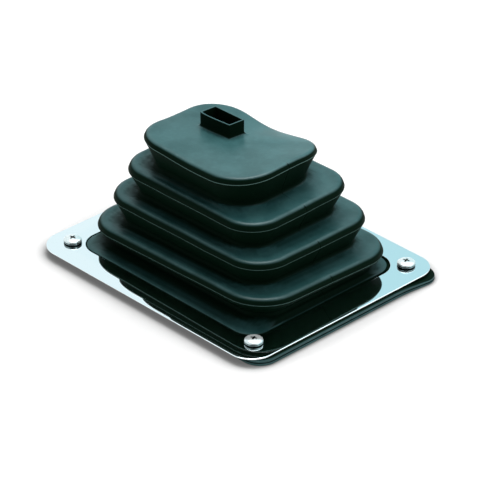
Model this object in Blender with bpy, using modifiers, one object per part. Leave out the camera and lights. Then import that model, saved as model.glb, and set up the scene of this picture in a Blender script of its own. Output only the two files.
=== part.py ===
# Gear lever gaiter: a moulded rubber bellows boot on a base flange, held under a bright trim plate
# by four pan-head screws. Metres, +Z up. X runs along the plate's long side, Y along its short side.
# The pieces are laid out round the middle of the plate, on the surface that the flange stands on, and
# are moved at the end so that the origin is the middle of the whole outline.
import math

import bmesh
import bpy
from mathutils import Vector

# Trim plate
PLATE_LENGTH = 0.162
PLATE_WIDTH = 0.136
PLATE_THICKNESS = 0.0012
PLATE_CORNER_RADIUS = 0.014
PLATE_BORDER = 0.015
OPENING_CORNER_RADIUS = 0.013
PLATE_EDGE_ROUND = 0.0004

# Screws, a No. 10 size pan head
SCREW_INSET_X = 0.0129
SCREW_INSET_Y = 0.01415
HEAD_DIAMETER = 0.0095
HEAD_SIDE_HEIGHT = 0.0013
HEAD_CROWN = 0.0015
SHANK_DIAMETER = 0.0046
SHANK_TIP_CLEARANCE = 0.0005
SHANK_CHAMFER = 0.0006
CROWN_DEGREES = (70, 50, 30, 15, 0)
HOLE_CLEARANCE = 0.0004
RECESS_SPAN = 0.0052
RECESS_BLADE = 0.0011
RECESS_DEPTH = 0.0017
RECESS_BOTTOM_SPAN_SHARE = 0.35
RECESS_BOTTOM_BLADE_SHARE = 0.7
RECESS_TURNS = [math.radians(degrees) for degrees in (38, 12, 62, 20)]

# Base flange of the boot, as long as the plate and a little narrower
FLANGE_INSET_Y = 0.0040
FLANGE_SHIFT_X = 0.0010
FLANGE_SHIFT_Y = 0.0005
FLANGE_CORNER_RADIUS = 0.0105
FLANGE_THICKNESS = 0.0036
FLANGE_EDGE_ROUND = 0.0004
GROOVE_HEIGHT = 0.0014
GROOVE_WIDTH = 0.0006
GROOVE_DEPTH = 0.0006
GROOVE_SLOPE = 0.00015
SAG_REACH = 0.030
SAG_OUTWARD = 0.0022
SAG_DOWN = 0.0014

# Base step, which fills the opening of the plate
STEP_GAP = 0.0010
STEP_SHIFT_X = -0.0006
STEP_SHIFT_Y = -0.0003
STEP_BELOW_PLATE = 0.0001
STEP_EDGE_ROUND = 0.0006
STEP_EDGE_MIDDLE_SHARE = 0.3

# Bellows tiers, from the lowest upwards. A tier's length is its share of the way from the pad's length
# to the plate's, and its width likewise. Its level is the height of its widest line above the plate.
# The soft tiers have moved sideways a little, and each is higher at its +X and +Y sides by its tip.
TIER_SHARES_X = (0.6494, 0.4286, 0.2234)
TIER_SHARES_Y = (0.4773, 0.2955, 0.1307)
TIER_LEVELS = (0.0105, 0.0282, 0.0457)
TIER_CORNER_RADII = (0.0226, 0.0192, 0.0183)
TIER_SHIFTS_X = (0.0008, 0.0005, -0.0005)
TIER_SHIFTS_Y = (0.0009, 0.0005, -0.0005)
TIER_TIPS_X = (0.00209, 0.00071, 0.00036)
TIER_TIPS_Y = (-0.00193, -0.00022, 0.00079)
PAD_LENGTH = 0.0850
PAD_WIDTH = 0.0656
PAD_CORNER_RADIUS = 0.0228
PAD_LEVEL = 0.0632
PAD_SHIFT_X = -0.0032
PAD_SHIFT_Y = -0.0018
PAD_SHOULDER = 0.0030
PAD_RING_SHARES = (0.18, 0.38, 0.60, 0.80, 1.0)
# The pad's rim rises and falls around its outline: (waves per turn, cosine part, sine part)
PAD_WAVES = ((1, 0.00165, -0.00215), (2, 0.00201, 0.00058), (3, 0.00057, 0.00090), (4, -0.00064, -0.00020))
LIP_SHOULDER = 0.0035
LIP_UNDER = 0.0022
TIER_LIP_DEGREES = (-28, 0, 25, 50, 75)
PAD_LIP_DEGREES = (-28, 0, 30, 60, 90)
ROOT_DEPTH = 0.0055
LOWEST_ROOT_DEPTH = 0.0080
ROOT_RADIUS = 0.0018
ROOT_DEGREES = (0, 45, 90)
TOP_RISE = 0.0025
BASE_RISE = 0.0022
TOP_MIDDLE_SHARE = 0.5
BOOT_WALL = 0.0018

# Collar round the lever, on the pad
COLLAR_LENGTH = 0.0214
COLLAR_WIDTH = 0.0106
COLLAR_HEIGHT = 0.0076
COLLAR_WALL = 0.0012
COLLAR_X = -0.0153
COLLAR_Y = 0.0043
COLLAR_TIP_X = 0.00052
COLLAR_TIP_Y = -0.00030
COLLAR_CORNER = 0.0005
COLLAR_BOW = 0.0010
COLLAR_BOW_STEPS = 8
COLLAR_BURIED = 0.0010

# Gap between two pieces that touch, and the smallest radius that an inset outline keeps
SEAT_GAP = 0.0003
SMALLEST_CORNER = 0.0002

# Points in each outline: steps in one corner arc, in a long side and in a short side
CORNER_STEPS = 7
LONG_STEPS = 6
SHORT_STEPS = 4
ROUND_STEPS = 24
EDGE_ROUND_STEPS = 2
SHARP_ANGLE = math.radians(50)

RUBBER = {"color": (0.012, 0.026, 0.024, 1.0), "roughness": 0.45, "metallic": 0.0}
CHROME = {"color": (0.86, 0.90, 0.91, 1.0), "roughness": 0.06, "metallic": 1.0}
PLATED_STEEL = {"color": (0.80, 0.83, 0.83, 1.0), "roughness": 0.14, "metallic": 1.0}

PLATE_BOTTOM = FLANGE_THICKNESS + SEAT_GAP
PLATE_TOP = PLATE_BOTTOM + PLATE_THICKNESS
HOLE_DIAMETER = SHANK_DIAMETER + 2 * HOLE_CLEARANCE
SCREW_X = PLATE_LENGTH / 2 - SCREW_INSET_X
SCREW_Y = PLATE_WIDTH / 2 - SCREW_INSET_Y
SCREW_PLACES = [(sx * SCREW_X, sy * SCREW_Y) for sx in (-1, 1) for sy in (-1, 1)]
TIER_COUNT = len(TIER_LEVELS)


def clear_scene():
    for item in list(bpy.data.objects):
        bpy.data.objects.remove(item, do_unlink=True)


def new_collection(name):
    collection = bpy.data.collections.new(name)
    bpy.context.scene.collection.children.link(collection)
    return collection


def new_material(name, look):
    material = bpy.data.materials.new(name)
    material.use_nodes = True
    shader = material.node_tree.nodes["Principled BSDF"]
    shader.inputs["Base Color"].default_value = look["color"]
    shader.inputs["Roughness"].default_value = look["roughness"]
    shader.inputs["Metallic"].default_value = look["metallic"]
    return material


def new_object(name, mesh_builder, collection, material=None):
    mesh = bpy.data.meshes.new(name)
    mesh_builder.normal_update()
    mesh_builder.to_mesh(mesh)
    mesh_builder.free()
    item = bpy.data.objects.new(name, mesh)
    collection.objects.link(item)
    if material:
        mesh.materials.append(material)
    return item


def arc(center_x, center_y, radius, start_degrees, steps):
    points = []
    for step in range(steps + 1):
        angle = math.radians(start_degrees + 90 * step / steps)
        points.append((center_x + radius * math.cos(angle), center_y + radius * math.sin(angle)))
    return points


class Ring:
    """A level rounded rectangle: half length, half width, corner radius, middle and height."""

    def __init__(self, half_x, half_y, corner, middle_x, middle_y, z):
        self.half_x = half_x
        self.half_y = half_y
        self.corner = corner
        self.middle_x = middle_x
        self.middle_y = middle_y
        self.z = z

    def inset(self, distance, z):
        corner = max(self.corner - distance, SMALLEST_CORNER)
        return Ring(self.half_x - distance, self.half_y - distance, corner, self.middle_x, self.middle_y, z)

    def toward(self, other, share, z):
        def mix(a, b):
            return a + (b - a) * share

        return Ring(mix(self.half_x, other.half_x), mix(self.half_y, other.half_y),
                    mix(self.corner, other.corner), mix(self.middle_x, other.middle_x),
                    mix(self.middle_y, other.middle_y), z)

    def outward(self):
        return (self.half_x + self.half_y) / 2

    def points(self):
        """Outline points, counter-clockwise from the +X side, with arcs at the corners."""
        flat_x = self.half_x - self.corner
        flat_y = self.half_y - self.corner
        corners = ((flat_x, flat_y, 0), (-flat_x, flat_y, 90), (-flat_x, -flat_y, 180), (flat_x, -flat_y, 270))
        outline = []
        for index, (x, y, start) in enumerate(corners):
            round_part = arc(x, y, self.corner, start, CORNER_STEPS)
            outline.extend(round_part)
            next_x, next_y, next_start = corners[(index + 1) % 4]
            last = Vector(round_part[-1])
            first = Vector(arc(next_x, next_y, self.corner, next_start, 1)[0])
            steps = LONG_STEPS if index % 2 == 0 else SHORT_STEPS
            for step in range(1, steps):
                outline.append(tuple(last.lerp(first, step / steps)))
        return [Vector((self.middle_x + x, self.middle_y + y, self.z)) for x, y in outline]


def tier_ring(index):
    half_x = (PAD_LENGTH + (PLATE_LENGTH - PAD_LENGTH) * TIER_SHARES_X[index]) / 2
    half_y = (PAD_WIDTH + (PLATE_WIDTH - PAD_WIDTH) * TIER_SHARES_Y[index]) / 2
    return Ring(half_x, half_y, TIER_CORNER_RADII[index], TIER_SHIFTS_X[index], TIER_SHIFTS_Y[index],
                PLATE_TOP + TIER_LEVELS[index])


def pad_ring():
    return Ring(PAD_LENGTH / 2, PAD_WIDTH / 2, PAD_CORNER_RADIUS, PAD_SHIFT_X, PAD_SHIFT_Y,
                PLATE_TOP + PAD_LEVEL)


def flange_ring():
    return Ring(PLATE_LENGTH / 2, PLATE_WIDTH / 2 - FLANGE_INSET_Y, FLANGE_CORNER_RADIUS, FLANGE_SHIFT_X,
                FLANGE_SHIFT_Y, 0)


def step_ring():
    half_x = PLATE_LENGTH / 2 - PLATE_BORDER - STEP_GAP
    half_y = PLATE_WIDTH / 2 - PLATE_BORDER - STEP_GAP
    corner = OPENING_CORNER_RADIUS - STEP_GAP
    return Ring(half_x, half_y, corner, STEP_SHIFT_X, STEP_SHIFT_Y, FLANGE_THICKNESS)


def lip(ring, angles, shoulder):
    """The rounded lip of a tier, from its underside (negative angles) over its widest line."""
    rings = []
    for degrees in angles:
        radius = LIP_UNDER if degrees < 0 else shoulder
        angle = math.radians(degrees)
        rings.append(ring.inset(radius * (1 - math.cos(angle)), ring.z + radius * math.sin(angle)))
    return rings


def fold_root(upper, depth, z):
    """The rounded inner corner where one tier's top meets the underside of the tier above it."""
    root = upper.inset(depth, z)
    rings = []
    for degrees in ROOT_DEGREES:
        angle = math.radians(degrees)
        back = ROOT_RADIUS * (1 - math.sin(angle))
        rings.append(root.inset(-back, z + ROOT_RADIUS * (1 - math.cos(angle))))
    return rings


def flange_edge():
    """The flange's underside rim, its edge with a shallow groove, and its top rim."""
    edge = flange_ring()
    groove_top = GROOVE_HEIGHT + GROOVE_WIDTH
    return [
        edge.inset(FLANGE_EDGE_ROUND, 0),
        edge.inset(0, FLANGE_EDGE_ROUND),
        edge.inset(0, GROOVE_HEIGHT),
        edge.inset(GROOVE_DEPTH, GROOVE_HEIGHT + GROOVE_SLOPE),
        edge.inset(GROOVE_DEPTH, groove_top - GROOVE_SLOPE),
        edge.inset(0, groove_top),
        edge.inset(0, FLANGE_THICKNESS - FLANGE_EDGE_ROUND),
        edge.inset(FLANGE_EDGE_ROUND, FLANGE_THICKNESS),
    ]


def bellows_section():
    """Outer skin from the foot of the base step to the middle of the pad."""
    step = step_ring()
    step_top = PLATE_TOP - STEP_BELOW_PLATE
    step_edge_middle = STEP_EDGE_ROUND * STEP_EDGE_MIDDLE_SHARE
    rings = [
        step,
        step.inset(0, step_top - STEP_EDGE_ROUND),
        step.inset(step_edge_middle, step_top - step_edge_middle),
        step.inset(STEP_EDGE_ROUND, step_top),
    ]
    tiers = [tier_ring(index) for index in range(TIER_COUNT)]
    pad = pad_ring()
    rings.extend(fold_after(rings[-1], tiers[0], LOWEST_ROOT_DEPTH, step_top + BASE_RISE))
    for tier, upper in zip(tiers, tiers[1:] + [pad]):
        rings.extend(lip(tier, TIER_LIP_DEGREES, LIP_SHOULDER))
        rings.extend(fold_after(rings[-1], upper, ROOT_DEPTH, tier.z + LIP_SHOULDER + TOP_RISE))
    rings.extend(lip(pad, PAD_LIP_DEGREES, PAD_SHOULDER))
    rings.extend(pad_rings(rings[-1]))
    return rings


def fold_after(rim, upper, depth, z):
    """A tier's top, from its rim to the rounded inner corner under the next tier."""
    root = fold_root(upper, depth, z)
    middle_z = rim.z + (root[0].z - rim.z) * TOP_MIDDLE_SHARE
    return [rim.toward(root[0], TOP_MIDDLE_SHARE, middle_z)] + root


def pad_rings(rim):
    """The pad inside its rim, closing in on the middle of the collar."""
    middle = Ring(COLLAR_LENGTH / 4, COLLAR_WIDTH / 4, COLLAR_CORNER, COLLAR_X, COLLAR_Y, 0)
    return [rim.toward(middle, share, rim.z) for share in PAD_RING_SHARES]


def wall_inside(section):
    """The same section moved inward by the wall, square to it at each ring."""
    inside = []
    for index, ring in enumerate(section):
        before = section[max(index - 1, 0)]
        after = section[min(index + 1, len(section) - 1)]
        run = after.outward() - before.outward()
        rise = after.z - before.z
        length = math.hypot(run, rise)
        inside.append(ring.inset(BOOT_WALL * rise / length, ring.z + BOOT_WALL * run / length))
    return inside


def lean_of_tiers(z):
    """Slopes of the bellows at a height, between those of the tiers below and above it."""
    levels = [(PLATE_TOP, 0.0, 0.0)]
    for index in range(TIER_COUNT):
        ring = tier_ring(index)
        levels.append((ring.z, TIER_TIPS_X[index] / ring.half_x, TIER_TIPS_Y[index] / ring.half_y))
    levels.append((PLATE_TOP + PAD_LEVEL, 0.0, 0.0))
    if z <= levels[0][0]:
        return 0.0, 0.0
    for (z0, x0, y0), (z1, x1, y1) in zip(levels, levels[1:]):
        if z <= z1:
            share = (z - z0) / (z1 - z0)
            return x0 + (x1 - x0) * share, y0 + (y1 - y0) * share
    return 0.0, 0.0


def smooth_step(value):
    value = min(max(value, 0.0), 1.0)
    return value * value * (3 - 2 * value)


def pad_wave(x, y):
    """Rise of the pad at a place: full at its rim, and evening out towards its middle."""
    along = (x - PAD_SHIFT_X) / (PAD_LENGTH / 2)
    across = (y - PAD_SHIFT_Y) / (PAD_WIDTH / 2)
    turn = math.atan2(across, along)
    reach = min((along ** 4 + across ** 4) ** 0.25, 1.0)
    rise = 0.0
    for count, cosine, sine in PAD_WAVES:
        rise += reach ** count * (cosine * math.cos(count * turn) + sine * math.sin(count * turn))
    return rise


def settle(point):
    """Moves a point of the ideal boot to where the soft, slightly slumped boot has it."""
    lean_x, lean_y = lean_of_tiers(point.z)
    point.z += lean_x * point.x + lean_y * point.y
    wave_start = PLATE_TOP + TIER_LEVELS[-1] + LIP_SHOULDER + TOP_RISE
    wave_full = PLATE_TOP + PAD_LEVEL - LIP_UNDER
    share = smooth_step((point.z - wave_start) / (wave_full - wave_start))
    if share > 0:
        point.z += share * pad_wave(point.x, point.y)


def sag_corner(point):
    """The flange's corner at +X +Y has drooped: its edge lies further out and its top lower."""
    flange = flange_ring()
    corner = Vector((FLANGE_SHIFT_X + flange.half_x, FLANGE_SHIFT_Y + flange.half_y))
    away = (corner - point.xy).length
    share = smooth_step(1 - away / SAG_REACH)
    point.x += SAG_OUTWARD * share
    point.y += SAG_OUTWARD * share / 2
    point.z -= SAG_DOWN * share * point.z / FLANGE_THICKNESS


def loft(mesh_builder, rings_of_points, closed):
    """Quads between rings that have the same number of points, the last joined to the first if closed."""
    rows = [[mesh_builder.verts.new(point) for point in ring] for ring in rings_of_points]
    pairs = list(zip(rows, rows[1:]))
    if closed:
        pairs.append((rows[-1], rows[0]))
    count = len(rows[0])
    for lower, upper in pairs:
        for index in range(count):
            following = (index + 1) % count
            mesh_builder.faces.new((lower[index], lower[following], upper[following], upper[index]))
    return rows


def boot_body(collection, material):
    """The one-piece shell: flange, step, bellows and pad, lofted outside and inside."""
    outer = bellows_section()
    inner = wall_inside(outer)
    foot = inner[0].inset(0, 0)
    flange_points = [ring.points() for ring in flange_edge()]
    for ring in flange_points:
        for point in ring:
            sag_corner(point)
    outer_points = [ring.points() for ring in outer]
    inner_points = [ring.points() for ring in reversed(inner)]
    for ring in outer_points + inner_points:
        for point in ring:
            settle(point)
    mesh_builder = bmesh.new()
    outside_rows = loft(mesh_builder, [foot.points()] + flange_points + outer_points, closed=False)
    inside_rows = loft(mesh_builder, inner_points, closed=False)
    count = len(outside_rows[0])
    for index in range(count):
        following = (index + 1) % count
        mesh_builder.faces.new((inside_rows[-1][index], inside_rows[-1][following],
                                outside_rows[0][following], outside_rows[0][index]))
    mesh_builder.faces.new(outside_rows[-1])
    mesh_builder.faces.new(list(reversed(inside_rows[0])))
    return new_object("rubber_boot", mesh_builder, collection, material)


def collar_outline(grow):
    """Oblong outline with small corners, whose -Y side bows out most near its -X end."""
    half_x = COLLAR_LENGTH / 2 + grow
    half_y = COLLAR_WIDTH / 2 + grow
    corner = Vector((half_x - COLLAR_CORNER, half_y - COLLAR_CORNER))
    outline = []
    for quarter, (sx, sy) in enumerate(((1, 1), (-1, 1), (-1, -1), (1, -1))):
        outline.extend(arc(sx * corner.x, sy * corner.y, COLLAR_CORNER, 90 * quarter, 2))
        if quarter == 2:
            for step in range(1, COLLAR_BOW_STEPS):
                share = step / COLLAR_BOW_STEPS
                bow = COLLAR_BOW * math.sin(math.pi * math.sqrt(share))
                outline.append((corner.x * (2 * share - 1), -half_y - bow))
    return [(COLLAR_X + x, COLLAR_Y + y) for x, y in outline]


def tilt_with_collar(item):
    """Slopes a solid that is centred on the collar, as the soft collar itself slopes."""
    slope_x = COLLAR_TIP_X / (COLLAR_LENGTH / 2)
    slope_y = COLLAR_TIP_Y / (COLLAR_WIDTH / 2)
    for vertex in item.data.vertices:
        vertex.co.z += slope_x * (vertex.co.x - COLLAR_X) + slope_y * (vertex.co.y - COLLAR_Y)


def prism(name, outline, bottom, top, collection, material=None):
    """A flat outline raised to a solid between two heights."""
    mesh_builder = bmesh.new()
    face = mesh_builder.faces.new([mesh_builder.verts.new((x, y, bottom)) for x, y in outline])
    raised = bmesh.ops.extrude_face_region(mesh_builder, geom=[face])
    tops = [item for item in raised["geom"] if isinstance(item, bmesh.types.BMVert)]
    bmesh.ops.translate(mesh_builder, verts=tops, vec=(0, 0, top - bottom))
    bmesh.ops.recalc_face_normals(mesh_builder, faces=mesh_builder.faces)
    return new_object(name, mesh_builder, collection, material)


def peg(name, x, y, diameter, bottom, top, collection):
    """A round cutter that stands upright."""
    mesh_builder = bmesh.new()
    bmesh.ops.create_cone(mesh_builder, cap_ends=True, segments=ROUND_STEPS, radius1=diameter / 2,
                          radius2=diameter / 2, depth=top - bottom)
    bmesh.ops.translate(mesh_builder, verts=mesh_builder.verts, vec=(x, y, (bottom + top) / 2))
    return new_object(name, mesh_builder, collection)


def boolean(item, other, operation):
    modifier = item.modifiers.new(other.name, "BOOLEAN")
    modifier.operation = operation
    modifier.solver = "EXACT"
    modifier.object = other
    other.hide_render = True
    other.display_type = "WIRE"


def boot_with_collar(parts, cutters, material):
    boot = boot_body(parts, material)
    collar_foot = PLATE_TOP + PAD_LEVEL + PAD_SHOULDER + pad_wave(COLLAR_X, COLLAR_Y)
    collar_top = collar_foot + COLLAR_HEIGHT
    collar = prism("collar_body", collar_outline(0), collar_foot - COLLAR_BURIED, collar_top, cutters)
    slot = prism("collar_slot", collar_outline(-COLLAR_WALL), collar_foot - COLLAR_HEIGHT,
                 collar_top + COLLAR_HEIGHT, cutters)
    tilt_with_collar(collar)
    tilt_with_collar(slot)
    boolean(boot, collar, "UNION")
    boolean(boot, slot, "DIFFERENCE")
    for number, (x, y) in enumerate(SCREW_PLACES, 1):
        hole = peg(f"flange_hole_{number}", x, y, HOLE_DIAMETER, -FLANGE_THICKNESS, PLATE_TOP, cutters)
        boolean(boot, hole, "DIFFERENCE")
    boot.data.shade_smooth()
    boot.data.set_sharp_from_angle(angle=SHARP_ANGLE)
    return boot


def trim_plate(parts, cutters, material):
    outline = Ring(PLATE_LENGTH / 2, PLATE_WIDTH / 2, PLATE_CORNER_RADIUS, 0, 0, 0)
    opening = Ring(PLATE_LENGTH / 2 - PLATE_BORDER, PLATE_WIDTH / 2 - PLATE_BORDER, OPENING_CORNER_RADIUS, 0, 0, 0)
    plate = prism("trim_plate", [point.xy for point in outline.points()], PLATE_BOTTOM, PLATE_TOP, parts, material)
    window = prism("plate_opening", [point.xy for point in opening.points()],
                   PLATE_BOTTOM - PLATE_THICKNESS, PLATE_TOP + PLATE_THICKNESS, cutters)
    boolean(plate, window, "DIFFERENCE")
    for number, (x, y) in enumerate(SCREW_PLACES, 1):
        hole = peg(f"plate_hole_{number}", x, y, HOLE_DIAMETER, PLATE_BOTTOM - PLATE_THICKNESS,
                   PLATE_TOP + PLATE_THICKNESS, cutters)
        boolean(plate, hole, "DIFFERENCE")
    edge = plate.modifiers.new("edge_round", "BEVEL")
    edge.width = PLATE_EDGE_ROUND
    edge.segments = EDGE_ROUND_STEPS
    edge.limit_method = "ANGLE"
    edge.angle_limit = math.radians(60)
    plate.data.shade_smooth()
    plate.data.set_sharp_from_angle(angle=SHARP_ANGLE)
    return plate


def screw_profile():
    """Half section of a screw, from the middle of its crown down to the tip of its shank."""
    head_bottom = PLATE_TOP + SEAT_GAP
    side_top = head_bottom + HEAD_SIDE_HEIGHT
    head_radius = HEAD_DIAMETER / 2
    shank_radius = SHANK_DIAMETER / 2
    profile = [(0.0, side_top + HEAD_CROWN)]
    for degrees in CROWN_DEGREES:
        angle = math.radians(degrees)
        profile.append((head_radius * math.cos(angle), side_top + HEAD_CROWN * math.sin(angle)))
    profile.append((head_radius, head_bottom))
    profile.append((shank_radius, head_bottom))
    profile.append((shank_radius, SHANK_TIP_CLEARANCE + SHANK_CHAMFER))
    profile.append((shank_radius - SHANK_CHAMFER, SHANK_TIP_CLEARANCE))
    profile.append((0.0, SHANK_TIP_CLEARANCE))
    return profile


def recess_cutter(name, x, y, turn, collection):
    """Two crossed wedges that narrow towards their bottom, joined as one cutter."""
    top = PLATE_TOP + SEAT_GAP + HEAD_SIDE_HEIGHT + HEAD_CROWN
    blades = []
    for number in range(2):
        mesh_builder = bmesh.new()
        bmesh.ops.create_cube(mesh_builder, size=1.0)
        for vertex in mesh_builder.verts:
            low = vertex.co.z < 0
            vertex.co.x *= RECESS_SPAN * (RECESS_BOTTOM_SPAN_SHARE if low else 1.0)
            vertex.co.y *= RECESS_BLADE * (RECESS_BOTTOM_BLADE_SHARE if low else 1.0)
            vertex.co.z = -RECESS_DEPTH if low else RECESS_DEPTH / 2
        blade = new_object(f"{name}_{number + 1}", mesh_builder, collection)
        blade.location = (x, y, top)
        blade.rotation_euler = (0, 0, turn + math.radians(90 * number))
        blades.append(blade)
    return blades


def plate_screw(number, x, y, turn, parts, cutters, material):
    mesh_builder = bmesh.new()
    points = [mesh_builder.verts.new((radius, 0, z)) for radius, z in screw_profile()]
    for first, second in zip(points, points[1:]):
        mesh_builder.edges.new((first, second))
    screw = new_object(f"plate_screw_{number}", mesh_builder, parts, material)
    screw.location = (x, y, 0)
    spin = screw.modifiers.new("turned", "SCREW")
    spin.axis = "Z"
    spin.steps = ROUND_STEPS
    spin.render_steps = ROUND_STEPS
    spin.use_merge_vertices = True
    spin.merge_threshold = 0.00001
    for blade in recess_cutter(f"recess_{number}", x, y, turn, cutters):
        boolean(screw, blade, "DIFFERENCE")
    return screw


def centre_on_origin(parts, cutters):
    """Moves every piece and cutter together, so that the origin is in the middle of the outline."""
    graph = bpy.context.evaluated_depsgraph_get()
    reach = []
    for item in parts.objects:
        shape = item.evaluated_get(graph)
        reach.extend((item.matrix_world @ Vector(corner)).x for corner in shape.bound_box)
    middle = (min(reach) + max(reach)) / 2
    for item in list(parts.objects) + list(cutters.objects):
        item.location.x -= middle


def build():
    clear_scene()
    parts = new_collection("gear_lever_gaiter")
    cutters = new_collection("cutters")
    rubber = new_material("moulded_rubber", RUBBER)
    chrome = new_material("bright_chrome", CHROME)
    steel = new_material("plated_steel", PLATED_STEEL)
    boot_with_collar(parts, cutters, rubber)
    trim_plate(parts, cutters, chrome)
    for number, (x, y) in enumerate(SCREW_PLACES, 1):
        plate_screw(number, x, y, RECESS_TURNS[number - 1], parts, cutters, steel)
    centre_on_origin(parts, cutters)


build()
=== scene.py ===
import math

import bmesh
import bpy
from mathutils import Matrix, Vector, noise
from mathutils.bvhtree import BVHTree


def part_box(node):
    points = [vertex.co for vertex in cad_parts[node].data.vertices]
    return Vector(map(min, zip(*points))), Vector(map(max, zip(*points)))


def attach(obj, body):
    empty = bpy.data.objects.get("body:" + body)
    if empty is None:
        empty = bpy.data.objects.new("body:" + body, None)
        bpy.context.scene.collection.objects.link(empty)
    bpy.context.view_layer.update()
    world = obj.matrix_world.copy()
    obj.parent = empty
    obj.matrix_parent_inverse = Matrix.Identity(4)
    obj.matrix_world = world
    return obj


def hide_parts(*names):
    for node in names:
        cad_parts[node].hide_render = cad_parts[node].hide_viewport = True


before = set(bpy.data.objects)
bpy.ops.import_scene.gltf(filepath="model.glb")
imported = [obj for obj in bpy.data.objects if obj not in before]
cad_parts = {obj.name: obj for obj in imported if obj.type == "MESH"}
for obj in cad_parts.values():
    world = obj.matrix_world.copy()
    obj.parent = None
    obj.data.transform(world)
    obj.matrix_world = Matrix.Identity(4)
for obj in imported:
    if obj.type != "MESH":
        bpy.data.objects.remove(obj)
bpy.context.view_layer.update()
print("frame loaded:", sorted(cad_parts))

# Sizes are in millimetres, measured from the middle of the plate and from its top face.
millimetre = 0.001
plateLow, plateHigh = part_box("trim_plate")
plateMiddle = Vector(((plateLow.x + plateHigh.x) / 2, (plateLow.y + plateHigh.y) / 2, plateHigh.z))
floorLevel = -plateHigh.z / millimetre


def ease(value):
    value = min(max(value, 0.0), 1.0)
    return value * value * (3 - 2 * value)


def grey(level):
    return (level, level, level, 1.0)


# Shader helpers

class Wire:
    # one output of a node, so that shader maths can be written as an expression
    def __init__(self, nodes, socket):
        self.nodes = nodes
        self.socket = socket

    def maths(self, operation, *values):
        return self.nodes.add("ShaderNodeMath", {"operation": operation}, dict(enumerate(values))).out()

    def __add__(self, other):
        return self.maths("ADD", self, other)

    def __radd__(self, other):
        return self.maths("ADD", other, self)

    def __sub__(self, other):
        return self.maths("SUBTRACT", self, other)

    def __rsub__(self, other):
        return self.maths("SUBTRACT", other, self)

    def __mul__(self, other):
        return self.maths("MULTIPLY", self, other)

    def __rmul__(self, other):
        return self.maths("MULTIPLY", other, self)

    def __truediv__(self, other):
        return self.maths("DIVIDE", self, other)

    def __rtruediv__(self, other):
        return self.maths("DIVIDE", other, self)

    def __pow__(self, other):
        return self.maths("POWER", self, other)

    def __rpow__(self, other):
        return self.maths("POWER", other, self)

    def atLeast(self, least):
        return self.maths("MAXIMUM", self, least)

    def root(self):
        return self.maths("SQRT", self)

    def above(self, edge):
        return self.maths("GREATER_THAN", self, edge)

    def smooth(self, low, high):
        # 0 below low, 1 above high, eased between
        return self.nodes.add("ShaderNodeMapRange", {"interpolation_type": "SMOOTHSTEP", "clamp": True},
                              {"Value": self, "From Min": low, "From Max": high}).out()


class Placed:
    def __init__(self, nodes, node):
        self.nodes = nodes
        self.node = node

    def out(self, name=0):
        return Wire(self.nodes, self.node.outputs[name])


class Nodes:
    # the node tree of a material or of the world, emptied
    def __init__(self, owner):
        owner.use_nodes = True
        self.tree = owner.node_tree
        self.tree.nodes.clear()

    def add(self, kind, settings=None, values=None):
        node = self.tree.nodes.new(kind)
        for name, value in (settings or {}).items():
            setattr(node, name, value)
        for name, value in (values or {}).items():
            if isinstance(value, Wire):
                self.tree.links.new(value.socket, node.inputs[name])
            else:
                node.inputs[name].default_value = value
        return Placed(self, node)

    def objectPoint(self):
        return self.add("ShaderNodeTexCoord").out("Object")

    def parts(self, vector):
        split = self.add("ShaderNodeSeparateXYZ", None, {"Vector": vector})
        return split.out("X"), split.out("Y"), split.out("Z")

    def attribute(self, name):
        return self.add("ShaderNodeAttribute", {"attribute_name": name}).out("Fac")

    def noiseAt(self, point, pattern):
        values = {"Vector": point, "Scale": pattern["scale"], "Detail": pattern["detail"]}
        values["Roughness"] = pattern["roughness"]
        return self.add("ShaderNodeTexNoise", None, values).out(0)

    def mixColor(self, share, first, second):
        # the colour sockets of a Mix node are its inputs 6 and 7, and its output 2
        return self.add("ShaderNodeMix", {"data_type": "RGBA"}, {0: share, 6: first, 7: second}).out(2)

    def dotProduct(self, first, second):
        product = self.add("ShaderNodeVectorMath", {"operation": "DOT_PRODUCT"}, {0: first, 1: second})
        return product.out("Value")

    def bump(self, height, pattern, normal=None):
        values = {"Height": height, "Strength": pattern["strength"], "Distance": pattern["distance"]}
        if normal:
            values["Normal"] = normal
        return self.add("ShaderNodeBump", None, values).out()

    def finish(self, values):
        shader = self.add("ShaderNodeBsdfPrincipled", None, values)
        self.add("ShaderNodeOutputMaterial", None, {"Surface": shader.out()})


def newMaterial(name):
    material = bpy.data.materials.new(name)
    return material, Nodes(material)


# Materials. A pattern's scale is per metre, and its bump's distance is in metres.

rubberLook = {
    # The first two colours are the rubber painted in shade and painted lit; bloom is paler random patches on
    # the lit colour.
    "paintedShade": (0.0018, 0.0095, 0.0048, 1.0),
    "open": (0.021, 0.080, 0.082, 1.0),
    "bloom": (0.058, 0.152, 0.158, 1.0),
    # a painted highlight along the mould line's ridge
    "mouldLineHighlight": (0.15, 0.27, 0.245, 1.0),
    "cloud": {"scale": 55.0, "detail": 4.0, "roughness": 0.55, "from": 0.38, "to": 0.62, "share": 0.50},
    "dust": {"scale": 420.0, "detail": 3.0, "roughness": 0.6, "from": 0.45, "to": 0.75, "share": 0.22},
    "padEnd": {"fromX": -0.045, "toX": 0.030, "fromZ": 0.062, "toZ": 0.066, "share": 0.38},
    "waves": {"scale": 90.0, "detail": 1.0, "roughness": 0.5, "strength": 0.10, "distance": 0.0012},
    "grain": {"scale": 2600.0, "detail": 2.0, "roughness": 0.5, "strength": 0.10, "distance": 0.00012},
    "matt": 0.44,
    "cloudMatt": 0.10,
    "dustMatt": 0.06,
    "specular": 0.02,
    "shine": 0.72,
    "shineRoughness": 0.33,
    "shineTint": (0.90, 1.0, 1.0, 1.0),
}


def patches(wire, pattern):
    return wire.smooth(pattern["from"], pattern["to"]) * pattern["share"]


def padEnd(nodes, point):
    # the pad is paler towards its +X end
    end = rubberLook["padEnd"]
    x, y, z = nodes.parts(point)
    return x.smooth(end["fromX"], end["toX"]) * z.smooth(end["fromZ"], end["toZ"]) * end["share"]


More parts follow.
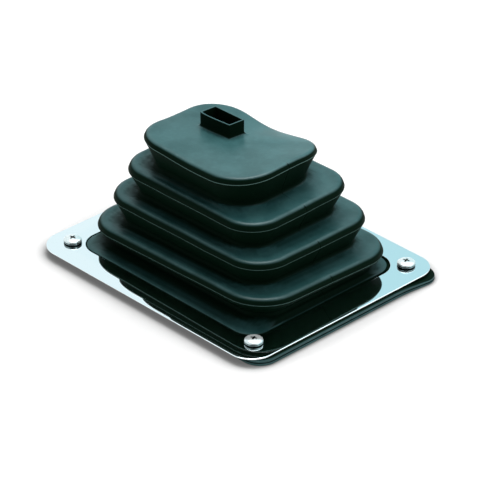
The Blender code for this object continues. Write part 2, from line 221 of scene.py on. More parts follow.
def makeRubber():
    # painted light where it faces up and is open to the sky, satin there and slightly bloomed; painted
    # shade, matt and nearly black, in the folds
    look = rubberLook
    material, nodes = newMaterial("mouldedRubber")
    point = nodes.objectPoint()
    cloud = nodes.noiseAt(point, look["cloud"])
    dust = nodes.noiseAt(point, look["dust"])
    paintedSkyLight = nodes.attribute("paintedSkyLight")
    bloom = patches(cloud, look["cloud"]) + patches(dust, look["dust"]) + padEnd(nodes, point)
    paintedLit = nodes.mixColor(bloom, look["open"], look["bloom"])
    # painted shade in the folds and under the lips, painted light where the rubber faces up and is open to
    # the sky
    color = nodes.mixColor(paintedSkyLight, look["paintedShade"], paintedLit)
    # the painted highlight along the mould line
    color = nodes.mixColor(nodes.attribute("mouldLineHighlight"), color, look["mouldLineHighlight"])
    normal = nodes.bump(nodes.noiseAt(point, look["waves"]), look["waves"])
    normal = nodes.bump(nodes.noiseAt(point, look["grain"]), look["grain"], normal)
    nodes.finish({
        "Base Color": color,
        "Roughness": look["matt"] + cloud * look["cloudMatt"] + dust * look["dustMatt"],
        "Specular IOR Level": look["specular"],
        "Coat Weight": paintedSkyLight * look["shine"],
        "Coat Roughness": look["shineRoughness"],
        "Coat Tint": look["shineTint"],
        "Normal": normal,
    })
    return material


chromeLook = {
    "face": (0.90, 0.95, 0.97, 1.0),
    # the side colour is painted shade on the plate's side below its face
    "side": (0.05, 0.07, 0.07, 1.0),
    "sideBelow": 1.12,
    "faceAbove": 0.96,
    "ripple": {"scale": 26.0, "detail": 1.0, "roughness": 0.5, "strength": 0.05, "distance": 0.0006},
    "haze": {"scale": 300.0, "detail": 3.0, "roughness": 0.5},
    "polish": 0.03,
    "hazeMatt": 0.03,
}


def makeChrome():
    # polished, apart from the lower edge of the plate's side, which is painted dark as shade
    look = chromeLook
    material, nodes = newMaterial("brightChrome")
    point = nodes.objectPoint()
    ripple = nodes.noiseAt(point, look["ripple"])
    haze = nodes.noiseAt(point, look["haze"])
    x, y, z = nodes.parts(point)
    onFace = z.smooth(plateMiddle.z - look["sideBelow"] * millimetre,
                      plateMiddle.z - look["faceAbove"] * millimetre)
    nodes.finish({
        "Base Color": nodes.mixColor(onFace, look["side"], look["face"]),
        "Metallic": 1.0,
        "Roughness": look["polish"] + haze * look["hazeMatt"],
        "Normal": nodes.bump(ripple, look["ripple"]),
    })
    return material


# Depths are in millimetres under the head's dome, and the glint's outward limit is a share of its radius,
# squared.
steelLook = {
    "dome": (0.84, 0.89, 0.89, 1.0),
    # the low colour is painted shade and the line colour a painted glint
    "low": (0.012, 0.022, 0.020, 1.0),
    "line": (0.42, 0.50, 0.50, 1.0),
    "shadeFrom": 0.06,
    "shadeTo": 0.20,
    "glintStart": (0.50, 0.60),
    "glintEnd": (0.85, 0.95),
    "glintOut": 0.8,
    "metallic": 0.60,
    "polish": 0.18,
    "hazeMatt": 0.10,
    "haze": {"scale": 900.0, "detail": 3.0, "roughness": 0.5, "strength": 0.08, "distance": 0.0001},
}


def makeScrewSteel(x, y):
    # bright on the dome, with painted shade in the recess and down the side, where one line is a painted
    # glint
    look = steelLook
    size = screwSize
    material, nodes = newMaterial("platedSteel")
    point = nodes.objectPoint()
    haze = nodes.noiseAt(point, look["haze"])
    pointX, pointY, pointZ = nodes.parts(point)
    radius = size["headRadius"] * millimetre
    outX = (pointX - (plateMiddle.x + x * millimetre)) / radius
    outY = (pointY - (plateMiddle.y + y * millimetre)) / radius
    out = outX * outX + outY * outY
    dome = (1.0 - out).atLeast(0.0).root() * size["crown"] + size["seat"] + size["headSide"]
    depth = dome - (pointZ - plateMiddle.z) / millimetre
    # painted shade under the dome, and a painted glint band on the head's side
    low = depth.smooth(look["shadeFrom"], look["shadeTo"])
    line = depth.smooth(*look["glintStart"]) * (1.0 - depth.smooth(*look["glintEnd"]))
    line = line * out.above(look["glintOut"])
    color = nodes.mixColor(low, look["dome"], look["low"])
    nodes.finish({
        "Base Color": nodes.mixColor(line, color, look["line"]),
        "Metallic": look["metallic"],
        "Roughness": look["polish"] + haze * look["hazeMatt"],
        "Normal": nodes.bump(haze, look["haze"]),
    })
    return material


# Outlines: each ring has the same number of points, so one ring can be drawn out into the next

ringSteps = {
    "corner": 24, "longSide": 34, "shortSide": 10,
    "seam": (-0.6, -0.22, 0.0, 0.22, 0.6), "seamRoom": 1.3, "leastCorner": 0.2, "mergeWithin": 0.0005,
}


def sideStops(half, steps):
    return [-half + 2 * half * step / steps for step in range(1, steps)]


def seamSideStops(half):
    # evenly spaced outside the seam and close together at it
    room = min(ringSteps["seamRoom"], half / 2)
    squeeze = room / ringSteps["seamRoom"]
    steps = ringSteps["shortSide"]
    outside = [room + (half - room) * step / steps for step in range(steps)]
    return [-stop for stop in reversed(outside)] + [stop * squeeze for stop in ringSteps["seam"]] + outside


def outline(ring):
    flatX = ring["halfX"] - ring["corner"]
    flatY = ring["halfY"] - ring["corner"]
    longStops = sideStops(flatX, ringSteps["longSide"])
    shortStops = seamSideStops(flatY)
    sides = (
        [(-x, ring["halfY"]) for x in longStops],
        [(-ring["halfX"], -y) for y in shortStops],
        [(x, -ring["halfY"]) for x in longStops],
        [(ring["halfX"], y) for y in shortStops],
    )
    points = []
    for quarter, (signX, signY) in enumerate(((1, 1), (-1, 1), (-1, -1), (1, -1))):
        for step in range(ringSteps["corner"] + 1):
            angle = math.radians(90 * quarter + 90 * step / ringSteps["corner"])
            points.append((signX * flatX + ring["corner"] * math.cos(angle),
                           signY * flatY + ring["corner"] * math.sin(angle)))
        points.extend(sides[quarter])
    return [Vector((ring["x"] + x, ring["y"] + y, ring["z"])) for x, y in points]


def ringOf(halfX, halfY, corner, x=0.0, y=0.0, z=0.0):
    return {"halfX": halfX, "halfY": halfY, "corner": corner, "x": x, "y": y, "z": z}


def inset(ring, distance, z):
    return dict(ring, halfX=ring["halfX"] - distance, halfY=ring["halfY"] - distance,
                corner=max(ring["corner"] - distance, ringSteps["leastCorner"]), z=z)


def between(first, second, share, z):
    mixed = {key: first[key] + (second[key] - first[key]) * share for key in first}
    mixed["z"] = z
    return mixed


def grownFrom(vertex, fresh):
    ends = [edge.other_vert(vertex) for edge in vertex.link_edges]
    return next(end for end in ends if end in fresh)


def drawRings(mesh, rings, marks=None):
    # starts from a circle and extrudes its edge loop from ring to ring, back to the first one
    # the marks give each ring's share of the mould line's painted highlight
    layer = mesh.verts.layers.float.new("mouldLineHighlight") if marks else None
    count = len(rings[0])
    loop = bmesh.ops.create_circle(mesh, segments=count, radius=1.0)["verts"]
    for vertex, place in zip(loop, rings[0]):
        vertex.co = place
    for number, ring in enumerate(rings[1:], 1):
        edges = [mesh.edges.get((loop[index - 1], loop[index])) for index in range(count)]
        grown = bmesh.ops.extrude_edge_only(mesh, edges=edges)["geom"]
        fresh = {item for item in grown if isinstance(item, bmesh.types.BMVert)}
        loop = [grownFrom(vertex, fresh) for vertex in loop]
        for vertex, place in zip(loop, ring):
            vertex.co = place
            if marks:
                vertex[layer] = marks[number]
    bmesh.ops.remove_doubles(mesh, verts=mesh.verts, dist=ringSteps["mergeWithin"])
    bmesh.ops.recalc_face_normals(mesh, faces=mesh.faces)


def makeObject(name, mesh, material, smooth=True):
    # from millimetres round the plate's middle to metres in the part's frame
    bmesh.ops.scale(mesh, vec=(millimetre,) * 3, verts=mesh.verts)
    bmesh.ops.translate(mesh, vec=plateMiddle, verts=mesh.verts)
    data = bpy.data.meshes.new(name)
    mesh.to_mesh(data)
    mesh.free()
    if smooth:
        data.shade_smooth()
    data.materials.append(material)
    piece = bpy.data.objects.new(name, data)
    bpy.context.scene.collection.objects.link(piece)
    return piece


# Rubber boot. Profiles are pairs of a distance inward and a height, and each wave of the pad is
# its number of turns with its cosine and sine heights.

bootSize = {
    "tiers": (
        dict(ringOf(67.5, 49.6, 22.6, 0.8, 0.9, 10.5), leanX=0.031, leanY=-0.039),
        dict(ringOf(59.0, 43.2, 19.2, 0.5, 0.5, 28.2), leanX=0.012, leanY=-0.005),
        dict(ringOf(51.1, 37.4, 18.3, -0.5, -0.5, 45.7), leanX=0.007, leanY=0.021),
    ),
    "pad": ringOf(42.5, 32.8, 22.8, -3.2, -1.8, 63.2),
    "padWaves": ((1, 1.65, -2.15), (2, 2.01, 0.58), (3, 0.57, 0.90), (4, -0.64, -0.20)),
    "padSteps": 16,
    "step": ringOf(65.0, 52.0, 12.0, -0.6, -0.3, -0.1),
    "stepFoot": ((-0.9, 0.0), (-0.3, 0.1), (0.0, 0.4)),
    "stepEdge": ((0.0, -0.8), (0.06, -0.45), (0.22, -0.18), (0.45, -0.05), (0.8, 0.0)),
    "flange": ringOf(81.0, 64.0, 10.5, 1.0, 0.5),
    "flangeThick": 3.6,
    "flangeEdge": (
        (0.5, 0.0), (0.22, 0.06), (0.05, 0.22), (-0.02, 0.55), (-0.02, 0.9), (0.08, 1.2), (0.3, 1.36),
        (0.62, 1.42), (0.7, 1.55), (0.7, 1.8), (0.6, 1.95), (0.25, 2.02), (0.08, 2.15), (0.0, 2.4),
        (0.0, 3.0), (0.06, 3.3), (0.2, 3.5), (0.45, 3.6), (1.5, 3.6), (8.0, 3.6),
    ),
    "shoulder": 3.5,
    "padShoulder": 3.0,
    "shoulderFrom": 6,
    "shoulderSteps": 12,
    "under": 2.2,
    "underDegrees": (-28, -21, -14, -8),
    "flash": 0.22,
    "flashLow": (-0.22, -0.12),
    "flashHigh": (0.08, 0.2),
    "tierLine": 0.2,
    "padLine": 0.7,
    "rootDepth": 5.5,
    "lowestRootDepth": 8.0,
    "rootRound": 1.8,
    "rootDegrees": (0, 18, 36, 54, 72, 90),
    "topShares": (0.12, 0.28, 0.46, 0.64, 0.82),
    "underShares": (0.2, 0.4, 0.6, 0.8),
    "topRise": 0.9,
    "dish": 0.5,
    "baseRise": 2.2,
    "wall": 1.8,
    "wallEvery": 2,
    "seamDeep": 0.5,
    "uneven": 0.22,
    "unevenSize": 21.0,
    "unevenAbove": 8.0,
    "sagReach": 30.0,
    "sagOut": 2.2,
    "sagDown": 1.4,
}
# The collar's rounds are pairs of a distance outward and a height.
collarSize = {
    "halfX": 10.7, "halfY": 5.3, "corner": 0.5, "x": -15.3, "y": 4.3,
    "height": 7.9, "wall": 0.9, "slopeX": 0.010, "slopeY": -0.057, "bow": 1.0, "bowFrom": 0.7, "foot": 1.0,
    "footRound": ((0.55, 0.12), (0.2, 0.45), (0.0, 1.0)),
    "rimRound": ((0.0, -0.25), (-0.05, -0.1), (-0.16, -0.02), (-0.3, 0.0)),
    "outerShares": (0.3, 0.5, 0.7, 0.9), "innerShares": (0.8, 0.55, 0.3, 0.0),
}


def padWave(x, y):
    pad = bootSize["pad"]
    along = (x - pad["x"]) / pad["halfX"]
    across = (y - pad["y"]) / pad["halfY"]
    turn = math.atan2(across, along)
    reach = min((along ** 4 + across ** 4) ** 0.25, 1.0)
    return sum(reach ** count * (cosine * math.cos(count * turn) + sine * math.sin(count * turn))
               for count, cosine, sine in bootSize["padWaves"])


def leanAt(z):
    stops = [(0.0, 0.0, 0.0)]
    stops.extend((tier["z"], tier["leanX"], tier["leanY"]) for tier in bootSize["tiers"])
    stops.append((bootSize["pad"]["z"], 0.0, 0.0))
    for (z0, x0, y0), (z1, x1, y1) in zip(stops, stops[1:]):
        if z0 < z <= z1:
            share = (z - z0) / (z1 - z0)
            return x0 + (x1 - x0) * share, y0 + (y1 - y0) * share
    return 0.0, 0.0


def settle(point):
    # the soft boot's lean, the wave of its pad and small unevenness
    size = bootSize
    leanX, leanY = leanAt(point.z)
    uneven = size["uneven"] * noise.noise(point / size["unevenSize"]) * ease(point.z / size["unevenAbove"])
    point.z += leanX * point.x + leanY * point.y + uneven
    waveStart = size["tiers"][-1]["z"] + size["shoulder"] + size["topRise"]
    share = ease((point.z - waveStart) / (size["pad"]["z"] - size["under"] - waveStart))
    if share > 0:
        point.z += share * padWave(point.x, point.y)
    return point


def droop(point):
    # the flange's corner at +X +Y hangs lower and stands out further
    flange = bootSize["flange"]
    corner = Vector((flange["x"] + flange["halfX"], flange["y"] + flange["halfY"]))
    share = ease(1 - (corner - point.xy).length / bootSize["sagReach"])
    height = point.z - floorLevel
    point.x += bootSize["sagOut"] * share
    point.y += bootSize["sagOut"] * share / 2
    point.z -= bootSize["sagDown"] * share * height / bootSize["flangeThick"]
    return point


def profileRings(ring, level, profile):
    return [inset(ring, inward, level + height) for inward, height in profile]


def arcRings(ring, radius, degrees):
    return [inset(ring, radius * (1 - math.cos(math.radians(angle))),
                  ring["z"] + radius * math.sin(math.radians(angle))) for angle in degrees]


def lipSection(ring, shoulder, upperMark):
    # underside round, the thin mould line at the widest level, marked for its painted highlight, and the
    # shoulder
    size = bootSize
    rings = arcRings(ring, size["under"], size["underDegrees"])
    lowest, low = size["flashLow"]
    high, highest = size["flashHigh"]
    flash = size["flash"]
    line = ((0.0, lowest, 0.0), (flash, low, 1.0), (flash, high, upperMark), (0.0, highest, 0.0))
    for out, up, mark in line:
        rings.append(dict(inset(ring, -out, ring["z"] + up), mouldLineHighlight=mark))
    first = size["shoulderFrom"]
    steps = size["shoulderSteps"]
    degrees = [first + (90 - first) * step / steps for step in range(steps + 1)]
    rings.extend(arcRings(ring, shoulder, degrees))
    return rings


def rootSection(rim, upper, depth, z):
    # the top of a tier, and the rounded corner where it meets the next tier's underside
    size = bootSize
    root = inset(upper, depth, z)
    radius = size["rootRound"]
    corner = []
    for angle in size["rootDegrees"]:
        turn = math.radians(angle)
        corner.append(inset(root, -radius * (1 - math.sin(turn)), z + radius * (1 - math.cos(turn))))
    first = corner[0]
    top = []
    for share in size["topShares"]:
        lift = (first["z"] - rim["z"]) * share - size["dish"] * math.sin(math.pi * share)
        top.append(between(rim, first, share, rim["z"] + lift))
    return top + corner


def underSection(root, lip):
    return [between(root, lip, share, root["z"] + (lip["z"] - root["z"]) * share)
            for share in bootSize["underShares"]]


def bellowsSection():
    # the base step, then each tier and the pad, from its root up to its shoulder
    size = bootSize
    step = size["step"]
    tiers = size["tiers"]
    pad = size["pad"]
    rings = profileRings(step, floorLevel + size["flangeThick"], size["stepFoot"])
    rings.extend(profileRings(step, step["z"], size["stepEdge"]))
    plan = [(tiers[0], size["lowestRootDepth"], step["z"] + size["baseRise"])]
    for tier, upper in zip(tiers, tiers[1:] + (pad,)):
        plan.append((upper, size["rootDepth"], tier["z"] + size["shoulder"] + size["topRise"]))
    for upper, depth, z in plan:
        level = {key: upper[key] for key in pad}
        rings.extend(rootSection(rings[-1], level, depth, z))
        if upper is pad:
            lip = lipSection(level, size["padShoulder"], size["padLine"])
        else:
            lip = lipSection(level, size["shoulder"], size["tierLine"])
        rings.extend(underSection(rings[-1], lip[0]))
        rings.extend(lip)
    return rings


def normalOf(rings, index):
    before = rings[max(index - 1, 0)]
    after = rings[min(index + 1, len(rings) - 1)]
    run = (after["halfX"] + after["halfY"] - before["halfX"] - before["halfY"]) / 2
    rise = after["z"] - before["z"]
    length = math.hypot(run, rise) or 1.0
    return rise / length, -run / length


def innerSection(rings):
    # every few rings of the outside, moved in square to the wall
    wall = bootSize["wall"]
    inner = []
    for index in range(0, len(rings), bootSize["wallEvery"]):
        outward, upward = normalOf(rings, index)
        inner.append(inset(rings[index], wall * outward, rings[index]["z"] - wall * upward))
    return inner


def collarOutline(grow):
    # the side towards -Y bows out a little
    size = collarSize
    ring = ringOf(size["halfX"] + grow, size["halfY"] + grow, size["corner"], size["x"], size["y"])
    points = outline(ring)
    for point in points:
        share = (point.x - ring["x"]) / (2 * ring["halfX"]) + 0.5
        if point.y < ring["y"] - ring["halfY"] * size["bowFrom"]:
            point.y -= size["bow"] * math.sin(math.pi * math.sqrt(min(max(share, 0.0), 1.0)))
    return points


def onCollar(points, height):
    # places an outline at a height above the collar's foot, on the collar's own slope
    size = collarSize
    foot = bootSize["pad"]["z"] + bootSize["padShoulder"] + padWave(size["x"], size["y"])
    return [Vector((point.x, point.y, foot + height + size["slopeX"] * (point.x - size["x"])
                    + size["slopeY"] * (point.y - size["y"]))) for point in points]


def collarSection():
    size = collarSize
    height = size["height"]
    wall = size["wall"]
    rim = size["rimRound"]
    rings = [onCollar(collarOutline(grow), up) for grow, up in size["footRound"]]
    rings.extend(onCollar(collarOutline(0.0), height * share) for share in size["outerShares"])
    rings.extend(onCollar(collarOutline(grow), height + up) for grow, up in rim)
    rings.extend(onCollar(collarOutline(-wall - grow), height + up) for grow, up in reversed(rim))
    rings.extend(onCollar(collarOutline(-wall), height * share) for share in size["innerShares"])
    return rings


def padSection(rim, foot):
    # rings of the pad, level with its rim, from the rim in to the outline of the collar's foot
    edge = outline(rim)
    rings = []
    for step in range(1, bootSize["padSteps"] + 1):
        share = step / bootSize["padSteps"]
        rings.append([start.lerp(Vector((end.x, end.y, start.z)), share) for start, end in zip(edge, foot)])
    return rings


def seamPlaces():
    # where the mould's parting line crosses a ring, at the middle of both short ends
    perCorner = ringSteps["corner"] + 1
    longCount = ringSteps["longSide"] - 1
    middle = ringSteps["shortSide"] + len(ringSteps["seam"]) // 2
    shortCount = 2 * ringSteps["shortSide"] + len(ringSteps["seam"])
    left = perCorner + longCount + perCorner + middle
    return left, left + (shortCount - middle) + perCorner + longCount + perCorner + middle


def cutSeam(rings, section):
    # a fine groove, deepest on the upright faces and nothing on the level ones
    left, right = seamPlaces()
    for index, ring in enumerate(rings):
        outward, upward = normalOf(section, index)
        depth = bootSize["seamDeep"] * abs(outward)
        for place, side in ((left, -1), (right, 1)):
            ring[place] -= Vector((side * outward, 0.0, upward)) * depth


def makeBoot(material):
    flange = profileRings(bootSize["flange"], floorLevel, bootSize["flangeEdge"])
    bellows = bellowsSection()
    inner = innerSection(bellows)
    flangeRings = [outline(ring) for ring in flange]
    cutSeam(flangeRings, flange)
    for ring in flangeRings:
        for point in ring:
            droop(point)
    outerRings = [outline(ring) for ring in bellows]
    cutSeam(outerRings, bellows)
    innerRings = [outline(ring) for ring in reversed(inner)]
    padTop = padSection(bellows[-1], collarOutline(collarSize["foot"]))
    padUnder = padSection(inner[-1], collarOutline(-collarSize["wall"]))
    for ring in outerRings + innerRings + padTop + padUnder:
        for point in ring:
            settle(point)
    rings = flangeRings + outerRings + padTop + collarSection() + list(reversed(padUnder)) + innerRings
    rings.append(outline(inset(inner[0], 0.0, floorLevel)))
    rings.append([point.copy() for point in flangeRings[0]])
    # each ring's share of the painted highlight along the mould line
    marks = [0.0] * len(rings)
    for number, ring in enumerate(bellows, len(flangeRings)):
        marks[number] = ring.get("mouldLineHighlight", 0.0)
    mesh = bmesh.new()
    drawRings(mesh, rings, marks)
    boot = makeObject("gaiterBoot", mesh, material)
    markPaintedLight(boot)
    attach(boot, "root")
    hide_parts("rubber_boot")
    return boot


# How the rubber's painted light and shade are found from how open it is to the sky: reach, lift and
# flangeBelow are in metres
skyLook = {
    "rays": 20,
    "reach": 0.09,
    "lift": 0.0002,
    "leanX": 0.15,
    "closed": 0.33,
    "open": 0.68,
    "steep": 0.68,
    "flat": 0.98,
    "lowShare": 0.72,
    "flangeBelow": 0.0014,
    "edgeFrom": 0.5,
    "edgeFull": 0.9,
}


def skyDirections():
    # a spiral of directions over the upper half, denser towards straight up and leaning to +X, so that
    # places open towards +X are painted lighter
    directions = []
    for index in range(skyLook["rays"]):
        height = math.sqrt((index + 0.5) / skyLook["rays"])
        turn = index * math.pi * (3 - math.sqrt(5))
        flat = math.sqrt(1 - height * height)
        direction = Vector((flat * math.cos(turn) + skyLook["leanX"], flat * math.sin(turn), height))
        directions.append(direction.normalized())
    return directions


def easeBetween(value, low, high):
    return ease((value - low) / (high - low))


def openShare(tree, start, directions):
    # the share of the directions in which no rubber is met
    free = sum(tree.ray_cast(start, direction, skyLook["reach"])[0] is None for direction in directions)
    return free / len(directions)


def markPaintedLight(boot):
    # painted light and shade: lit as far as each point faces up and is open to the sky, else shaded, or on
    # the flange's edge lit as far as it is upright
    tree = BVHTree.FromPolygons([vertex.co for vertex in boot.data.vertices],
                                [face.vertices for face in boot.data.polygons])
    directions = skyDirections()
    marks = boot.data.attributes.new("paintedSkyLight", "FLOAT", "POINT")
    for vertex, mark in zip(boot.data.vertices, marks.data):
        facing = easeBetween(vertex.normal.z, skyLook["steep"], skyLook["flat"])
        if vertex.co.z < plateMiddle.z - skyLook["flangeBelow"]:
            mark.value = easeBetween(vertex.normal.xy.length, skyLook["edgeFrom"], skyLook["edgeFull"])
        elif facing > 0:
            start = vertex.co + vertex.normal * skyLook["lift"]
            share = easeBetween(openShare(tree, start, directions), skyLook["closed"], skyLook["open"])
            # the lower tiers are painted darker, as shade, and the upper tiers paler
            height = (vertex.co.z - plateMiddle.z) / millimetre / bootSize["pad"]["z"]
            paintedHeightLight = skyLook["lowShare"] + (1 - skyLook["lowShare"]) * ease(height)
            mark.value = paintedHeightLight * facing * share


# Trim plate

plateSize = {
    "halfX": 80.6, "halfY": 67.6, "corner": 13.6, "border": 14.6, "openingCorner": 13.0, "thick": 1.2,
    "underOuter": ((0.2, 0.0), (0.04, 0.05)), "underOpening": ((0.0, 0.3), (-0.08, 0.08)), "underInset": 0.3,
    "rimRound": ((0.0, -0.25), (0.03, -0.1), (0.1, -0.03)),
    "openingRound": 0.15, "holeRadius": 2.7, "sharpFrom": 32.0, "drillLength": 8.0, "drillSides": 48,
    "crownDrop": 0.68, "crownReach": 10.8, "crownPower": 2.5, "crownSteps": 26, "crownFrom": 0.2,
    "crownSpread": 1.3, "endFlat": 0.50, "endSpread": 3.0,
}
screwPlaces = ((-67.6, -53.3), (-68.1, 53.85), (67.3, -53.0), (68.0, 54.8))


def plateTop(distance):
    # the border curves down a little towards its outer edge
    size = plateSize
    return -size["crownDrop"] * max(1 - distance / size["crownReach"], 0.0) ** size["crownPower"]


def flattenEnds(points):
    # the plate's short ends curve down less than its long sides
    size = plateSize
    lowest = -size["thick"] / 2 - size["crownDrop"] / 2
    for point in points:
        end = ease((abs(point.x) / size["halfX"] - abs(point.y) / size["halfY"]) * size["endSpread"] + 0.5)
        if lowest < point.z < 0:
            point.z *= 1 - size["endFlat"] * end
    return points


def makePlate(material):
    size = plateSize
    outer = ringOf(size["halfX"], size["halfY"], size["corner"])
    opening = ringOf(size["halfX"] - size["border"], size["halfY"] - size["border"], size["openingCorner"])
    bottom = -size["thick"]
    rings = [inset(opening, -size["underInset"], bottom)]
    rings.extend(profileRings(outer, bottom, size["underOuter"]))
    rings.extend(profileRings(outer, plateTop(0.0), size["rimRound"]))
    for step in range(size["crownSteps"]):
        share = (step / (size["crownSteps"] - 1)) ** size["crownSpread"]
        distance = size["crownFrom"] + size["crownReach"] * share
        rings.append(inset(outer, distance, plateTop(distance)))
    edgeRound = size["openingRound"]
    rings.append(inset(opening, -2 * edgeRound, 0.0))
    for angle in range(90, -1, -15):
        turn = math.radians(angle)
        rings.append(inset(opening, -edgeRound * (1 - math.cos(turn)), -edgeRound * (1 - math.sin(turn))))
    rings.extend(profileRings(opening, bottom, size["underOpening"]))
    rings.append(rings[0])
    mesh = bmesh.new()
    drawRings(mesh, [flattenEnds(outline(ring)) for ring in rings])
    plate = makeObject("chromePlate", mesh, material)
    drillPlate(plate)
    plate.data.shade_smooth()
    plate.data.set_sharp_from_angle(angle=math.radians(size["sharpFrom"]))
    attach(plate, "root")
    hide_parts("trim_plate")
    return plate


def drillPlate(plate):
    size = plateSize
    mesh = bmesh.new()
    for x, y in screwPlaces:
        bmesh.ops.create_cone(mesh, cap_ends=True, segments=size["drillSides"], radius1=size["holeRadius"],
                              radius2=size["holeRadius"], depth=size["drillLength"],
                              matrix=Matrix.Translation((x, y, 0.0)))
    drill = makeObject("plateDrill", mesh, plate.data.materials[0], smooth=False)
    cutWith(plate, [drill])


def cutWith(piece, cutters):
    for cutter in cutters:
        cut = piece.modifiers.new(cutter.name, "BOOLEAN")
        cut.operation = "DIFFERENCE"
        cut.solver = "EXACT"
        cut.object = cutter
    graph = bpy.context.evaluated_depsgraph_get()
    data = bpy.data.meshes.new_from_object(piece.evaluated_get(graph))
    piece.modifiers.clear()
    piece.data = data
    for cutter in cutters:
        bpy.data.objects.remove(cutter)


# Screws

screwSize = {
    "headRadius": 4.75, "headSide": 1.3, "crown": 1.5, "seat": 0.3, "edgeRound": 0.15,
    "shankRadius": 2.3, "neck": 0.1, "tip": 0.5, "tipLong": 0.5, "tipIn": 0.6,
    "thread": 0.9, "threadDeep": 0.35, "threadFrom": 0.7,
    "turns": (8, 12, 24, 20), "bladeLong": 5.0, "bladeWide": 1.1, "bladeLowLong": 0.35, "bladeLowWide": 0.65,
    "recessDeep": 1.7, "sides": 64, "sharpFrom": 38.0, "mergeWithin": 0.001,
}


def screwProfile():
    # pairs of a radius and a height, from the dome's middle round to the tip's
    size = screwSize
    side = size["seat"] + size["headSide"]
    profile = [(0.0, side + size["crown"])]
    for angle in range(84, -1, -6):
        turn = math.radians(angle)
        profile.append((size["headRadius"] * math.cos(turn), side + size["crown"] * math.sin(turn)))
    profile.append((size["headRadius"], size["seat"] + size["edgeRound"]))
    profile.append((size["headRadius"] - size["edgeRound"], size["seat"]))
    profile.append((size["shankRadius"] + size["neck"], size["seat"]))
    profile.append((size["shankRadius"], size["seat"] - size["neck"]))
    tip = floorLevel + size["tip"]
    ridge = size["seat"] - size["threadFrom"]
    while ridge - size["thread"] > tip + size["tipLong"]:
        profile.append((size["shankRadius"], ridge))
        profile.append((size["shankRadius"] - size["threadDeep"], ridge - size["thread"] / 2))
        ridge -= size["thread"]
    profile.append((size["shankRadius"] - size["neck"], tip + size["tipLong"]))
    profile.append((size["shankRadius"] - size["tipIn"], tip))
    profile.append((0.0, tip))
    return profile


def makeScrew(number, x, y, degrees, material):
    size = screwSize
    mesh = bmesh.new()
    points = [mesh.verts.new((radius, 0.0, z)) for radius, z in screwProfile()]
    edges = [mesh.edges.new(pair) for pair in zip(points, points[1:])]
    bmesh.ops.spin(mesh, geom=points + edges, axis=(0, 0, 1), cent=(0, 0, 0), steps=size["sides"],
                   angle=math.tau, use_merge=True)
    bmesh.ops.remove_doubles(mesh, verts=mesh.verts, dist=size["mergeWithin"])
    bmesh.ops.recalc_face_normals(mesh, faces=mesh.faces)
    bmesh.ops.translate(mesh, vec=(x, y, 0.0), verts=mesh.verts)
    screw = makeObject(f"plateScrew{number}", mesh, material)
    top = size["seat"] + size["headSide"] + size["crown"]
    cutWith(screw, [recessBlade(x, y, degrees + turn, top, material) for turn in (0, 90)])
    screw.data.shade_smooth()
    screw.data.set_sharp_from_angle(angle=math.radians(size["sharpFrom"]))
    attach(screw, "root")
    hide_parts(f"plate_screw_{number}")
    return screw


def recessBlade(x, y, degrees, top, material):
    # a wedge, long at the top and short at the bottom
    size = screwSize
    mesh = bmesh.new()
    bmesh.ops.create_cube(mesh, size=2.0)
    for vertex in mesh.verts:
        low = vertex.co.z < 0
        vertex.co.x *= size["bladeLong"] / 2 * (size["bladeLowLong"] if low else 1.0)
        vertex.co.y *= size["bladeWide"] / 2 * (size["bladeLowWide"] if low else 1.0)
        vertex.co.z = -size["recessDeep"] if low else 1.0
    turn = Matrix.Rotation(math.radians(degrees), 3, "Z")
    bmesh.ops.rotate(mesh, cent=(0, 0, 0), matrix=turn, verts=mesh.verts)
    bmesh.ops.translate(mesh, vec=(x, y, top), verts=mesh.verts)
    return makeObject("recessBlade", mesh, material, smooth=False)


# Floor, light and camera, in metres

studio = {
    "floorSize": 6.0,
    "floorBounce": 0.70,
    "floorWhite": 0.93,
    "floorGlow": 0.13,
    "contactReach": 0.030,
    "contactPower": 2.0,
    "contactSamples": 8,
    "skyForObject": 0.32,
    "leftWhite": (0.84, 0.97, 1.0, 1.0),
    "rightBlue": (0.50, 0.79, 0.85, 1.0),
    "blueFrom": -0.07,
    "blueTo": 0.05,
    "darkSide": (0.02, 0.04, 0.04, 1.0),
    "darkLift": 20.0,
    "darkFrom": 0.74,
    "darkTo": 0.86,
}
lamps = (
    {"name": "above", "place": (-0.45, 0.38, 1.91), "size": 1.1, "power": 20.0, "mirrored": True},
    {"name": "behindLeft", "place": (-1.00, 0.80, 1.54), "size": 1.9, "power": 8.0, "mirrored": False},
    {"name": "behindRight", "place": (0.25, 1.10, 1.65), "size": 1.8, "power": 9.0, "mirrored": True},
    {"name": "side", "place": (1.20, 0.20, 1.30), "size": 1.8, "power": 6.0, "mirrored": True},
)
photoView = {
    "azimuth": 46.3, "elevation": 30.8, "distance": 1.5866, "lens": 230.8, "sensor": 36.0,
    "shiftX": 0.0060, "shiftY": 0.0289, "nearest": 0.05, "furthest": 20.0,
}


def rayKinds(nodes):
    path = nodes.add("ShaderNodeLightPath")
    mirrored = path.out("Is Glossy Ray").atLeast(path.out("Is Transmission Ray"))
    return path.out("Is Camera Ray"), mirrored


def makeFloorPaint():
    # white where the camera or a mirror sees it, with a shadow of its own close to the part
    material, nodes = newMaterial("paleFloor")
    camera, mirrored = rayKinds(nodes)
    seen = camera.atLeast(mirrored)
    contact = nodes.add("ShaderNodeAmbientOcclusion", {"samples": studio["contactSamples"]},
                        {"Distance": studio["contactReach"]})
    clear = contact.out("AO") ** studio["contactPower"]
    white = nodes.mixColor(clear, grey(0.0), grey(studio["floorWhite"]))
    color = nodes.mixColor(seen, grey(studio["floorBounce"]), white)
    matt = nodes.add("ShaderNodeBsdfDiffuse", None, {"Color": color})
    glow = nodes.add("ShaderNodeEmission", None, {"Strength": seen * studio["floorGlow"]})
    paint = nodes.add("ShaderNodeAddShader", None, {0: matt.out(), 1: glow.out()})
    nodes.add("ShaderNodeOutputMaterial", None, {"Surface": paint.out()})
    return material


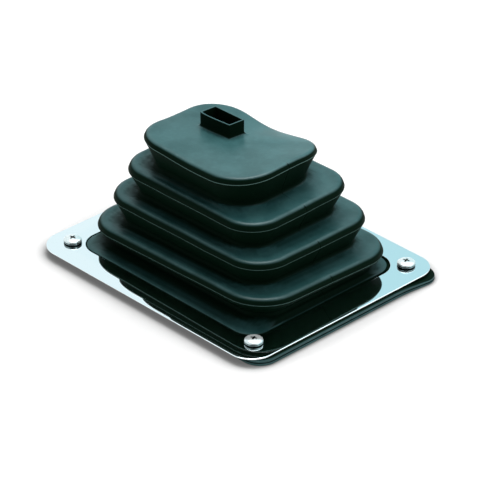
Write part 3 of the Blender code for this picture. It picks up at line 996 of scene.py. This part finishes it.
def makeFloor():
    mesh = bmesh.new()
    bmesh.ops.create_grid(mesh, x_segments=1, y_segments=1, size=studio["floorSize"] / 2)
    data = bpy.data.meshes.new("studioFloor")
    mesh.to_mesh(data)
    mesh.free()
    data.materials.append(makeFloorPaint())
    floor = bpy.data.objects.new("studioFloor", data)
    bpy.context.scene.collection.objects.link(floor)
    return floor


def towardsCamera(lift):
    turn = math.radians(photoView["azimuth"])
    lift = math.radians(lift)
    return Vector((math.sin(turn) * math.cos(lift), -math.cos(turn) * math.cos(lift), math.sin(lift)))


def makeWorld():
    # white for the camera, plain for the object's light, and in mirrors a room: white, blue and a dark front
    world = bpy.data.worlds.new("studioSky")
    bpy.context.scene.world = world
    nodes = Nodes(world)
    camera, mirrored = rayKinds(nodes)
    direction = nodes.add("ShaderNodeTexCoord").out("Generated")
    turn = math.radians(photoView["azimuth"])
    right = (math.cos(turn), math.sin(turn), 0.0)
    rightward = nodes.dotProduct(direction, right).smooth(studio["blueFrom"], studio["blueTo"])
    frontward = nodes.dotProduct(direction, towardsCamera(studio["darkLift"]))
    frontward = frontward.smooth(studio["darkFrom"], studio["darkTo"])
    walls = nodes.mixColor(rightward, studio["leftWhite"], studio["rightBlue"])
    walls = nodes.mixColor(frontward, walls, studio["darkSide"])
    color = nodes.mixColor(mirrored, grey(studio["skyForObject"]), walls)
    color = nodes.mixColor(camera, color, grey(1.0))
    sky = nodes.add("ShaderNodeBackground", None, {"Color": color, "Strength": 1.0})
    nodes.add("ShaderNodeOutputWorld", None, {"Surface": sky.out()})


def makeLamp(lamp):
    data = bpy.data.lights.new(lamp["name"], "AREA")
    data.shape = "DISK"
    data.size = lamp["size"]
    data.energy = lamp["power"]
    light = bpy.data.objects.new(lamp["name"], data)
    bpy.context.scene.collection.objects.link(light)
    light.location = lamp["place"]
    light.rotation_mode = "QUATERNION"
    light.rotation_quaternion = (-light.location).to_track_quat("-Z", "Y")
    light.visible_glossy = lamp["mirrored"]


def makeCamera():
    view = photoView
    data = bpy.data.cameras.new("photoCamera")
    data.lens = view["lens"]
    data.sensor_width = view["sensor"]
    data.shift_x = view["shiftX"]
    data.shift_y = view["shiftY"]
    data.clip_start = view["nearest"]
    data.clip_end = view["furthest"]
    camera = bpy.data.objects.new("photoCamera", data)
    bpy.context.scene.collection.objects.link(camera)
    back = towardsCamera(view["elevation"])
    camera.location = plateMiddle + back * view["distance"]
    camera.rotation_mode = "QUATERNION"
    camera.rotation_quaternion = (-back).to_track_quat("-Z", "Y")
    bpy.context.scene.camera = camera


rubber = makeRubber()
chrome = makeChrome()
print("materials made")
makeBoot(rubber)
print("boot made")
makePlate(chrome)
for number, ((x, y), degrees) in enumerate(zip(screwPlaces, screwSize["turns"]), 1):
    makeScrew(number, x, y, degrees, makeScrewSteel(x, y))
print("plate and screws made")
makeFloor()
makeWorld()
for lamp in lamps:
    makeLamp(lamp)
makeCamera()
bpy.context.scene.view_settings.view_transform = "Standard"
print("studio made")
